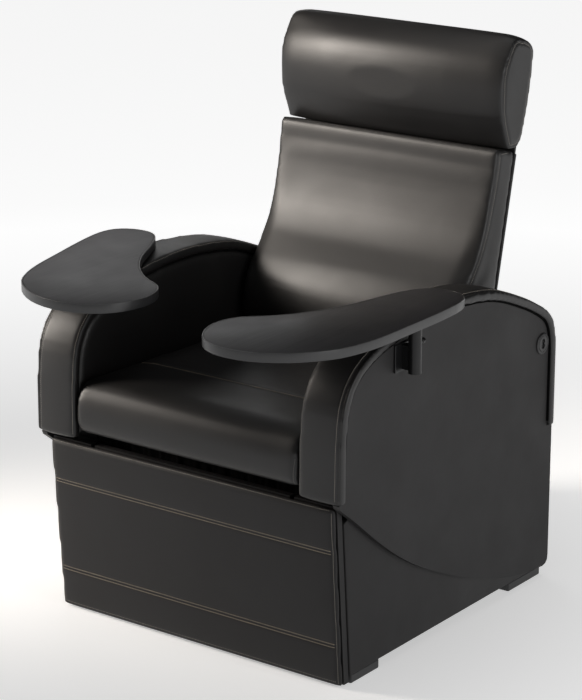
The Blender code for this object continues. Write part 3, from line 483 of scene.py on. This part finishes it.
def sew(name, lines, body, material=dark_thread):
    """Rows of stitches along the lines, one bead of thread for each stitch."""
    row = bmesh.new()
    for line in lines:
        spots = even(line, STITCH)
        for first in range(1, len(spots) - 1, LOT):
            beads = bmesh.new()
            for index in range(first, min(first + LOT, len(spots) - 1)):
                here, normal = spots[index]
                along = (spots[index + 1][0] - spots[index - 1][0]).normalized()
                across = along.cross(normal).normalized()
                turned = Matrix((across, normal, along)).transposed().to_4x4()
                size = Matrix.Diagonal((THREAD / 2, THREAD / 2, STITCH * BEAD, 1))
                bmesh.ops.create_uvsphere(beads, u_segments=6, v_segments=4, radius=1,
                                          matrix=Matrix.Translation(here) @ turned @ size)
            lot = bpy.data.meshes.new("lot")
            beads.to_mesh(lot)
            beads.free()
            row.from_mesh(lot)
            bpy.data.meshes.remove(lot)
    row = as_piece(name, row, material)
    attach(row, body)
    print(name, len(row.data.vertices) // BEAD_CORNERS, "stitches")
    return row


def welt(name, line, body, radius, material=seat_vinyl):
    """A round cord along the line: piping in a sleeve of vinyl, or a near-black bead of painted shadow.
    """
    curve = bpy.data.curves.new(name, "CURVE")
    curve.dimensions, curve.bevel_depth, curve.bevel_resolution = "3D", radius, 3
    spots = even(line, 0.006)
    spline = curve.splines.new("POLY")
    spline.points.add(len(spots) - 1)
    for spot, (point, normal) in zip(spline.points, spots):
        spot.co = (*(point + normal * radius * 0.2), 1)
    pipe = bpy.data.objects.new(name, curve)
    curve.materials.append(material)
    bpy.context.scene.collection.objects.link(pipe)
    settled = bpy.data.meshes.new_from_object(pipe.evaluated_get(bpy.context.evaluated_depsgraph_get()))
    bpy.data.objects.remove(pipe)
    piece = bpy.data.objects.new(name, settled)
    settled.polygons.foreach_set("use_smooth", [True] * len(settled.polygons))
    bpy.context.scene.collection.objects.link(piece)
    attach(piece, body)
    return piece


# %% [markdown]
# ## Arm bands
# Each arm is a plywood box; a padded strip of vinyl runs up its front, over the top and down behind.
# Its outer edge is a piped roll. It is top-stitched 5 mm in from that roll and 5.5 mm in from the inner
# edge, and the padding between the rows stands up a little. Rays shot inwards at the arch from all round
# give the rows. A thin near-black bead in the step between the strip and the side panel is painted
# shadow.

# %% The padded strip round each arm
ARCH_CENTRE = Vector((0, 0.070, 0.400))
REACH = 0.70
HEM = 0.0055       # stitches in from the inner edge
ROLL = 0.0085      # the outer edge is a piped roll this wide
ROUND = (0, 186)   # degrees, from the foot of the front over the top to behind
SHADOW_BEAD_ROUND = np.radians(np.arange(-1, 188, 1.0))     # the same way round, for the bead of painted shadow


def arch(surface, x):
    """The line round the arm's arch at that x."""
    angles = np.radians(np.arange(*ROUND, 0.8))
    centre = Vector((x, ARCH_CENTRE.y, ARCH_CENTRE.z))
    starts = [centre + Vector((0, -math.cos(a), math.sin(a))) * REACH for a in angles]
    return trace(surface, starts, [centre] * len(starts))


for side_name, side in SIDES:
    node = f"arm_band_{side_name}"
    low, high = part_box(node)
    inner_x, outer_x = (low.x, high.x) if side > 0 else (high.x, low.x)
    band = refine(foam_copy(node, f"arm_band_cover_{side_name}", square=0.0055, rounds=4))
    points, facing = coordinates(band), normals(band)
    across = np.clip((points[:, 0] - low.x) / (high.x - low.x), 0, 1)
    outward = np.clip(np.sum(facing * (points - np.array(ARCH_CENTRE)), axis=1) * 8, 0, 1)
    crown = 0.0025 * np.sin(np.pi * across) ** 0.8 * outward * (1 - np.abs(facing[:, 0])) ** 2
    set_points(band, points + facing * crown[:, None])
    surface = skin(band)
    press(band, [arch(surface, outer_x - side * ROLL)], depth=0.0032, width=0.0028)
    press(band, [arch(surface, inner_x + side * HEM)], depth=0.0008, width=0.0030)
    surface = skin(band)
    rows = [arch(surface, inner_x + side * HEM), arch(surface, outer_x - side * (ROLL + 0.005))]
    sew(f"arm_band_stitches_{side_name}", rows, "chair", grey_thread)
    panel_low, panel_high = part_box(f"side_panel_{side_name}")
    x = panel_high.x + 0.0010 if side > 0 else panel_low.x - 0.0010
    hub = Vector((x, ARCH_CENTRE.y, ARCH_CENTRE.z))
    inner = trace(surface, [hub] * len(SHADOW_BEAD_ROUND),
                  [hub + Vector((0, -math.cos(a), math.sin(a))) * REACH for a in SHADOW_BEAD_ROUND])
    # This bead is painted shadow: a near-black cord that draws the shade in the step.
    welt(f"arm_shadow_bead_{side_name}", inner, "chair", radius=0.0030, material=painted_shadow_black)
    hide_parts(node)
    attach(band, "chair")
    print(band.name, len(band.data.polygons), "faces")

# %% [markdown]
# ## Inner arm pads
# Thin foam under vinyl faces the sitter. It is flat where it is glued, and barely crowned.

# %% The pads inside the arms
for side_name, side in SIDES:
    node = f"arm_inner_pad_{side_name}"
    pad = foam_copy(node, f"arm_inner_cover_{side_name}", square=0.007, rounds=3)
    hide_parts(node)
    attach(pad, "chair")

# %% [markdown]
# ## Seat cushion
# A foam block with a waterfall front. The cover is boxed: a top panel with one seam across it, tan
# thread, and side panels joined to it by a seam that runs down each end of the front.

# %% Stuff and sew the seat
SEAT_SEAM = -0.120
low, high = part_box("seat_cushion")
seat = foam_copy("seat_cushion", "seat_cushion_cover", square=0.0085, rounds=3)
stuff(seat, 0.004, lambda p: np.clip((low.z + 0.014 - p[:, 2]) / 0.010, 0, 1),
      (low.x - 0.002, low.y - 0.006, low.z), (high.x + 0.002, high.y, high.z + 0.012))
refine(seat)
surface = skin(seat)
wide = np.linspace(low.x + 0.004, high.x - 0.004, 120)
across_top = trace(surface, [(x, SEAT_SEAM, high.z + 0.1) for x in wide],
                   [(x, SEAT_SEAM, low.z) for x in wide])
ends = []
for _, side in SIDES:
    down = [(side * (high.x - 0.012 + 0.008 * t), low.y - 0.05, low.z + 0.006 + 0.070 * t)
            for t in np.linspace(0, 1, 30)]
    ends.append(trace(surface, down, [(x, low.y + 0.2, z) for x, _, z in down]))
press(seat, [across_top], depth=0.0022, width=0.0055)
press(seat, ends, depth=0.0016, width=0.0040)
surface = skin(seat)
sew("seat_top_stitches", [laid(surface, [p for p, _ in across_top])], "chair", tan_thread)
sew("seat_end_stitches", [laid(surface, [p for p, _ in line]) for line in ends], "chair")
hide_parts("seat_cushion")
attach(seat, "chair")

# %% Piping under the front of the seat
hem = [(x, low.y - 0.05, low.z + 0.008) for x in wide]
under = trace(surface, hem, [(x, 0.0, z) for x, _, z in hem])
welt("seat_front_welt", under, "chair", radius=0.0022)

# %% [markdown]
# ## Back cushion
# The back bulges at the small of the sitter's back. Its front panel and its flat side panels meet in a
# seam with a row of stitches beside it, and a row runs back along the top of each side panel.

# %% Stuff and sew the back
CAP_ROUND = 0.040     # how far in from each end the front draws back
CROWN = 0.022         # the middle stands this far out past the ends

low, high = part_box("back_cushion")
back = foam_copy("back_cushion", "back_cushion_cover", square=0.0070, rounds=2)
points, facing = coordinates(back), normals(back)
drawn_in = np.clip((np.abs(points[:, 0]) - high.x + CAP_ROUND) / CAP_ROUND, 0, 1) ** 2
crown = CROWN * (points[:, 0] / high.x) ** 2 - CROWN / 3
points[:, 1] += (0.012 * drawn_in + crown) * np.clip((0.150 - points[:, 1] + low.y) / 0.100, 0, 1)
set_points(back, points)
stuff(back, 0.003, lambda p: np.clip((p[:, 1] - high.y + 0.085) / 0.030, 0, 1),
      (low.x - 0.002, low.y - 0.008, low.z - 0.002), (high.x + 0.002, high.y, high.z + 0.004))
refine(back)
surface = skin(back)
tall = np.linspace(low.z + 0.020, high.z - 0.012, 140)
side_rows = []
for _, side in SIDES:
    front = trace(surface, [(side * (high.x - 0.020), low.y - 0.1, z) for z in tall],
                  [(side * (high.x - 0.020), high.y, z) for z in tall])
    side_rows.append(laid(surface, [(side * (high.x + 0.002), p.y + 0.016, p.z) for p, _ in front]))
top_row = []
for _, side in SIDES:
    top_row.append(laid(surface, [(side * (high.x + 0.002), y, high.z - 0.012)
                                  for y in np.linspace(side_rows[0][-1][0].y, high.y - 0.020, 20)]))
press(back, side_rows, depth=0.0012, width=0.0030)
surface = skin(back)
sew("back_stitches", [laid(surface, [p for p, _ in line]) for line in side_rows + top_row], "back",
    grey_thread)
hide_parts("back_cushion")
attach(back, "back")

# %% [markdown]
# ## Headrest
# A fat D-shaped roll of foam. Its cover is one panel wrapped round and two flat end caps; the cap seam
# sits on the edge, and a row of stitches runs 7 mm inside it.

# %% Stuff and sew the headrest
low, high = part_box("headrest_cushion")
head = foam_copy("headrest_cushion", "headrest_cover", square=0.0065, rounds=2)
points = coordinates(head)
middle = (low + high) / 2
drawn_in = 0.055 * np.clip((np.abs(points[:, 0]) - high.x + CAP_ROUND) / CAP_ROUND, 0, 1) ** 2
toward = np.array(middle) - points
toward[:, 0] = 0
toward[:, 2] *= np.where(points[:, 2] < middle.z, 0.15, 1.0)
sag = ease((1.000 - points[:, 2]) / 0.060) * ease((0.458 - points[:, 1]) / 0.030)
points = points + toward * drawn_in[:, None]
crown = CROWN * (points[:, 0] / high.x) ** 2 - CROWN / 3
points[:, 1] += crown * ease((middle.y - points[:, 1]) / 0.050)
points[:, 2] = np.maximum(points[:, 2] - 0.036 * sag, low.z - 0.0040)
set_points(head, points)
stuff(head, 0.003, lambda p: np.clip((np.abs(p[:, 0]) - high.x + 0.012) / 0.008, 0, 1),
      (low.x - 0.001, low.y - 0.006, low.z - 0.005), (high.x + 0.001, high.y + 0.003, high.z + 0.005))
refine(head)
surface = skin(head)
caps = []
for _, side in SIDES:
    turn = np.radians(np.arange(0, 361, 2.5))
    centre = Vector((side * (high.x - 0.004), middle.y, middle.z))
    starts = [centre + Vector((0, math.cos(a), math.sin(a))) * 0.25 for a in turn]
    rim = trace(surface, starts, [centre] * len(starts))
    inset = [centre + (p - centre) * (1 - 0.007 / (p - centre).length) for p, _ in rim]
    caps.append(laid(surface, [(side * (high.x + 0.002), p.y, p.z) for p in inset]))
press(head, caps, depth=0.0014, width=0.0035)
surface = skin(head)
sew("headrest_stitches", [laid(surface, [p for p, _ in line]) for line in caps], "headrest", grey_thread)
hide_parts("headrest_cushion")
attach(head, "headrest")

# %% [markdown]
# ## Leg rest
# The padded leaf in front of the base: thin foam on a board, with two double rows of stitches across
# it, a row just under its top edge, a row down each margin and a hem at the foot.

# %% Cover the leg rest
low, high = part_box("leg_rest_pad")
leg = refine(foam_copy("leg_rest_pad", "leg_rest_cover", square=0.0060, rounds=3, material=side_vinyl))
surface = skin(leg)
span = np.linspace(low.x + 0.006, high.x - 0.006, 200)


def level(z):
    """The line across the leg rest's front at that height."""
    return trace(surface, [(x, low.y - 0.1, z) for x in span], [(x, high.y, z) for x in span])


def upright(x):
    """The line up the leg rest's front at that x."""
    tall = np.linspace(low.z + 0.005, high.z - 0.006, 120)
    return trace(surface, [(x, low.y - 0.1, z) for z in tall], [(x, high.y, z) for z in tall])


DOUBLE_ROWS = [0.0875, 0.0940, 0.2850, 0.2915]
HEMS = [high.z - 0.007, low.z + 0.010]
MARGINS = [low.x + 0.007, high.x - 0.007]


def hem_lines():
    return [level(z) for z in HEMS] + [upright(x) for x in MARGINS]


lines = [level(z) for z in DOUBLE_ROWS] + hem_lines()
points, facing = coordinates(leg), normals(leg)
channels = np.array([low.z, 0.0908, 0.2883, high.z])     # the padding swells between these heights
between = np.clip(np.searchsorted(channels, points[:, 2]) - 1, 0, 2)
share = (points[:, 2] - channels[between]) / (channels[between + 1] - channels[between])
sides_in = np.clip((high.x - np.abs(points[:, 0])) / 0.05, 0, 1)
bulge = 0.0035 * np.sin(np.pi * np.clip(share, 0, 1)) ** 0.5 * np.sin(np.pi / 2 * sides_in) ** 0.7
set_points(leg, points + facing * (bulge * np.clip(-facing[:, 1], 0, 1) ** 2)[:, None])
press(leg, lines, depth=0.0014, width=0.0032)
surface = skin(leg)
sew("leg_rest_stitches", [level(z) for z in DOUBLE_ROWS], "leg_rest", tan_thread)
sew("leg_rest_hem_stitches", hem_lines(), "leg_rest", grey_thread)
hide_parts("leg_rest_pad")
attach(leg, "leg_rest")
print("leg rest rows at", [round(z, 4) for z in DOUBLE_ROWS + HEMS])

# %% [markdown]
# ## Back's rear cover and the headrest's flap
# Both are thin boards or felt under vinyl, so their edges are folded, not round. A bevel on the merged
# copy gives the fold.

# %% Folded covers
def folded_copy(node, name, body, width, material):
    """A copy of the node with its edges folded over that width."""
    mesh = merged_copy(node)
    sharp = [edge for edge in mesh.edges if len(edge.link_faces) == 2
             and edge.calc_face_angle(0) > math.radians(40)]
    bmesh.ops.bevel(mesh, geom=sharp, offset=width, affect="EDGES", segments=3, profile=0.5,
                    material=-1, clamp_overlap=True)
    mesh.normal_update()
    piece = as_piece(name, mesh, material)
    piece.data.set_sharp_from_angle(angle=math.radians(38))
    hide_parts(node)
    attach(piece, body)
    return piece


folded_copy("back_rear_cover", "back_rear_vinyl", "back", 0.0022, side_vinyl)
folded_copy("headrest_flap", "headrest_flap_vinyl", "headrest", 0.0018, seat_vinyl)
for side_name, side in SIDES:
    folded_copy(f"base_side_{side_name}", f"base_side_vinyl_{side_name}", "chair", 0.0020, side_vinyl)
    folded_copy(f"tray_board_{side_name}", f"tray_top_{side_name}", f"tray_{side_name}", 0.0010,
                laminate)
    folded_copy(f"tray_edging_{side_name}", f"tray_lip_{side_name}", f"tray_{side_name}", 0.0008,
                lipping)

# %% [markdown]
# ## Cloth in the gap above the leg rest
# A dark lining is stapled behind the seat and to the leg rest's top, gathered so that it can follow
# when the leg rest swings up. Folds are drawn as a sum of waves, so no two are alike.

# %% Gather the lining
low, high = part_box("front_liner")
FOLDS, DROP = 260, 12
cloth = bmesh.new()
bmesh.ops.create_grid(cloth, x_segments=FOLDS, y_segments=DROP, size=0.5)
for corner in cloth.verts:
    u, v = corner.co.x + 0.5, corner.co.y + 0.5
    wave = math.sin(u * 92) + 0.6 * math.sin(u * 151 + 1.3) + 0.4 * math.sin(u * 233 + 0.4)
    loose = max(0.0, 2 * v - 1)
    corner.co = Vector((low.x + 0.004 + u * (high.x - low.x - 0.008),
                        low.y + 0.0009 - 0.006 * loose + (0.0014 + 0.0016 * loose) * wave,
                        low.z + 0.002 + v * (high.z - low.z - 0.004)))
liner = as_piece("gathered_lining", cloth, lining)
area = sum(face.area for face in liner.data.polygons)
print("lining area", round(area, 4), "square metres")
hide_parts("front_liner")
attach(liner, "chair")

# %% [markdown]
# ## The switch
# A 45 mm round rocker plate: a domed bezel with a thin groove near its rim, a dark figure-eight well,
# and two domed buttons, one above the other. The bezel is a profile spun round its axis; the well is
# drilled out of it with two holes that overlap.

# %% Spin the bezel, the well and the buttons
def spun(name, profile, centre, material):
    """A profile of (radius, outward) points spun round the X axis through centre."""
    mesh = bmesh.new()
    line = [mesh.verts.new((out, radius, 0)) for radius, out in profile]
    edges = [mesh.edges.new(pair) for pair in zip(line, line[1:])]
    bmesh.ops.spin(mesh, geom=line + edges, cent=(0, 0, 0), axis=(1, 0, 0), dvec=(0, 0, 0),
                   angle=2 * math.pi, steps=48, use_merge=True)
    bmesh.ops.remove_doubles(mesh, verts=mesh.verts, dist=0.00002)
    bmesh.ops.recalc_face_normals(mesh, faces=mesh.faces)
    bmesh.ops.translate(mesh, vec=centre, verts=mesh.verts)
    piece = as_piece(name, mesh, material)
    piece.data.set_sharp_from_angle(angle=math.radians(50))
    return piece


WELL = 0.0058      # radius of each half of the figure-eight well
THROUGH = 0.03     # length of the drill, more than the plate is thick

low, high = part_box("switch_bezel")
centre = (low + high) / 2
RIM, DEEP = (high.y - low.y) / 2, high.x - low.x
bezel = spun("switch_rim", [
    (0, -DEEP / 2), (0, DEEP * 0.42), (0.0122, DEEP * 0.48), (0.0165, DEEP * 0.55),
    (0.0168, DEEP * 0.10), (0.0176, DEEP * 0.10), (0.0179, DEEP * 0.52), (0.0205, DEEP * 0.46),
    (RIM - 0.0006, DEEP * 0.20), (RIM, 0), (RIM, -DEEP / 2), (0, -DEEP / 2)], centre, bezel_plastic)
for node in ("recline_button", "raise_button"):
    hole_low, hole_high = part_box(node)
    mesh = bmesh.new()
    bmesh.ops.create_cone(mesh, cap_ends=True, segments=32, radius1=WELL, radius2=WELL, depth=THROUGH,
                          matrix=Matrix.Translation((hole_low + hole_high) / 2)
                          @ Matrix.Rotation(math.pi / 2, 4, "Y"))
    drill = as_piece(f"{node}_drill", mesh, bezel_plastic)
    cut = bezel.modifiers.new("well", "BOOLEAN")
    cut.object, cut.operation, cut.solver = drill, "DIFFERENCE", "EXACT"
    settle(bezel)
    bpy.data.objects.remove(drill)
bezel.data.set_sharp_from_angle(angle=math.radians(35))
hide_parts("switch_bezel")
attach(bezel, "chair")
for node, name in (("recline_button", "recline_button_cap"), ("raise_button", "raise_button_cap")):
    low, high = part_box(node)
    middle, radius = (low + high) / 2, (high.y - low.y) / 2
    face = (high.x - low.x) / 2
    cap = spun(name, [(0, face * 0.62), (radius * 0.45, face * 0.60), (radius * 0.75, face * 0.54),
                      (radius * 0.93, face * 0.44), (radius, face * 0.30), (radius, -face), (0, -face)],
               middle, button_plastic)
    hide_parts(node)
    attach(cap, node)
print("switch plate", round(RIM * 2000, 1), "mm across")

# %% [markdown]
# ## Studio
# The pale floor glows a little more the farther it is from the chair, so that it fades to white. A tall
# warm strip on the left, narrowed to a beam, draws the broad gloss on the headrest, back and seat. A
# square light on the right lights the side, a wide one overhead the trays, and a weak one behind the
# left arm its edge.

# %% Floor and lights
def area_light(name, spot, aim, size, power, colour="#ffffff", spread=180):
    light = bpy.data.lights.new(name, "AREA")
    light.shape, light.size, light.size_y, light.energy = "RECTANGLE", *size, power
    light.color, light.spread = linear(colour)[:3], math.radians(spread)
    lamp = bpy.data.objects.new(name, light)
    lamp.location = spot
    lamp.rotation_euler = (Vector(aim) - Vector(spot)).to_track_quat("-Z", "Y").to_euler()
    bpy.context.scene.collection.objects.link(lamp)


paper, tree, shader, place_on = finish_named("studio_paper_matt", Roughness=0.9)
shader.inputs["Specular IOR Level"].default_value = 0.1
shader.inputs["Emission Color"].default_value = linear("#ffffff")
GLOW_RADIUS = 3.2
round_chair = add(tree, "Mapping", {"Vector": place_on, "Scale": (1 / GLOW_RADIUS,) * 3})
middle_glow = add(tree, "TexGradient", {"Vector": round_chair.outputs["Vector"]},
                  gradient_type="SPHERICAL")
even_out = add(tree, "MapRange", {"Value": middle_glow.outputs["Fac"], "To Min": 0.86, "To Max": 0.34})
tree.links.new(even_out.outputs["Result"], shader.inputs["Emission Strength"])
fibre = add(tree, "TexNoise", {"Vector": place_on, "Scale": 1 / 0.02, "Detail": 2.0})
shade = add(tree, "MixRGB", {"Fac": fibre.outputs["Fac"], "Color1": linear("#f4f4f4"),
                             "Color2": linear("#f7f7f7")})
tree.links.new(shade.outputs["Color"], shader.inputs["Base Color"])
sheet_of_paper = bmesh.new()
bmesh.ops.create_grid(sheet_of_paper, x_segments=1, y_segments=1, size=30)
floor = as_piece("studio_floor", sheet_of_paper, paper)

area_light("rim", (-2.2, 2.0, 1.7), (-0.2, 0, 0.8), (1.2, 0.8), 4)
area_light("key", (-1.6, -0.9, 1.45), (-0.45, 0, 0.8), (0.4, 2.0), 10, "#fff6ec", spread=50)
area_light("fill", (3.4, -0.6, 1.6), (0, 0, 0.5), (1.6, 1.6), 38)
area_light("overhead", (0, 0.2, 4.0), (0, 0, 0), (3.0, 3.0), 20)
world = bpy.data.worlds.new("studio")
world.use_nodes = True
world.node_tree.nodes["Background"].inputs["Color"].default_value = linear("#ffffff")
world.node_tree.nodes["Background"].inputs["Strength"].default_value = 0.05
scene = bpy.context.scene
scene.world = world
scene.view_settings.view_transform = "Standard"

# %% [markdown]
# ## Camera
# A long lens 5.3 m from the middle of the chair, to its front right and a metre above the headrest, so
# that upright edges stay nearly parallel.

# %% Set the camera
camera = bpy.data.objects.new("camera", bpy.data.cameras.new("camera"))
camera.location = (3.0359, -4.0684, 2.1328)
camera.rotation_euler = Vector((-0.56735, 0.76811, -0.29684)).to_track_quat("-Z", "Y").to_euler()
camera.data.sensor_width, camera.data.lens, camera.data.clip_end = 36, 134.46, 100
scene.collection.objects.link(camera)
scene.camera = camera
print("camera", [round(c, 3) for c in camera.location])
